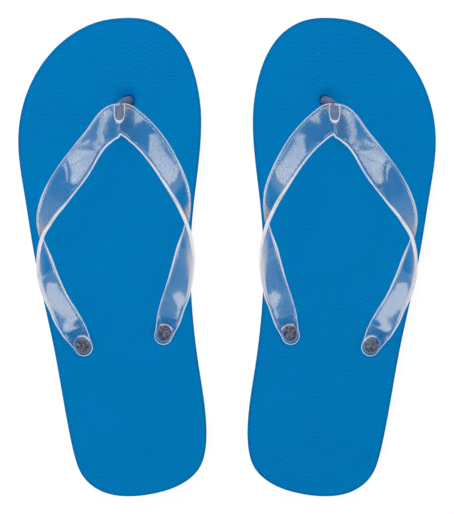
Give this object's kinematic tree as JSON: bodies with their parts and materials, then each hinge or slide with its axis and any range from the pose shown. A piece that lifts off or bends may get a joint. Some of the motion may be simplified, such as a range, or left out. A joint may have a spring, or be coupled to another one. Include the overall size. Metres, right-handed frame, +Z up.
{
  "type": "flip flop pair",
  "caption": "Pair of thong sandals: layered foam soles that flex at the ball, a clear moulded V band, a toe post and rear plugs with discs under the sole.",
  "frame": {"origin": "on the ground, midway between the two sandals and midway between heel and toe", "axes": "+Z up from the ground, +Y towards the toes, +X towards the wearer's right"},
  "size_m": [0.231, 0.2648, 0.06],
  "materials": {
    "footbed_foam": "matte fine dotted grain, closed-cell EVA foam",
    "midsole_foam": "matte die-cut closed-cell EVA foam",
    "outsole_foam": "matte EVA foam with transverse tread grooves",
    "clear_band": "clear glossy soft PVC",
    "smoke_plastic": "smoky grey glossy soft PVC"
  },
  "bodies": {
    "left_forefoot": {"left_footbed_front": "footbed_foam", "left_midsole_front": "midsole_foam", "left_outsole_front": "outsole_foam", "left_toe_post": "smoke_plastic"},
    "left_heel": {"left_footbed_rear": "footbed_foam", "left_midsole_rear": "midsole_foam", "left_outsole_rear": "outsole_foam", "left_outer_plug": "smoke_plastic", "left_inner_plug": "smoke_plastic", "left_strap": "clear_band"},
    "right_forefoot": {"right_footbed_front": "footbed_foam", "right_midsole_front": "midsole_foam", "right_outsole_front": "outsole_foam", "right_toe_post": "smoke_plastic"},
    "right_heel": {"right_footbed_rear": "footbed_foam", "right_midsole_rear": "midsole_foam", "right_outsole_rear": "outsole_foam", "right_outer_plug": "smoke_plastic", "right_inner_plug": "smoke_plastic", "right_strap": "clear_band"}
  },
  "joints": [
    {"name": "left_ball_flex", "type": "hinge", "parent": "left_forefoot", "child": "left_heel", "pos_m": [-0.065, 0.045, 0.015], "axis": [-1, 0, 0], "range_deg": [0, 35], "stiffness_Nm_per_rad": 0.6, "deforming": ["left_strap"]},
    {"name": "right_ball_flex", "type": "hinge", "parent": "right_forefoot", "child": "right_heel", "pos_m": [0.065, 0.045, 0.015], "axis": [-1, 0, 0], "range_deg": [0, 35], "stiffness_Nm_per_rad": 0.6, "deforming": ["right_strap"]},
    {"name": "right_sandal_lift", "type": "slide", "parent": "left_forefoot", "child": "right_forefoot", "axis": [0, 0, 1], "range_m": [0, 0.08]}
  ]
}
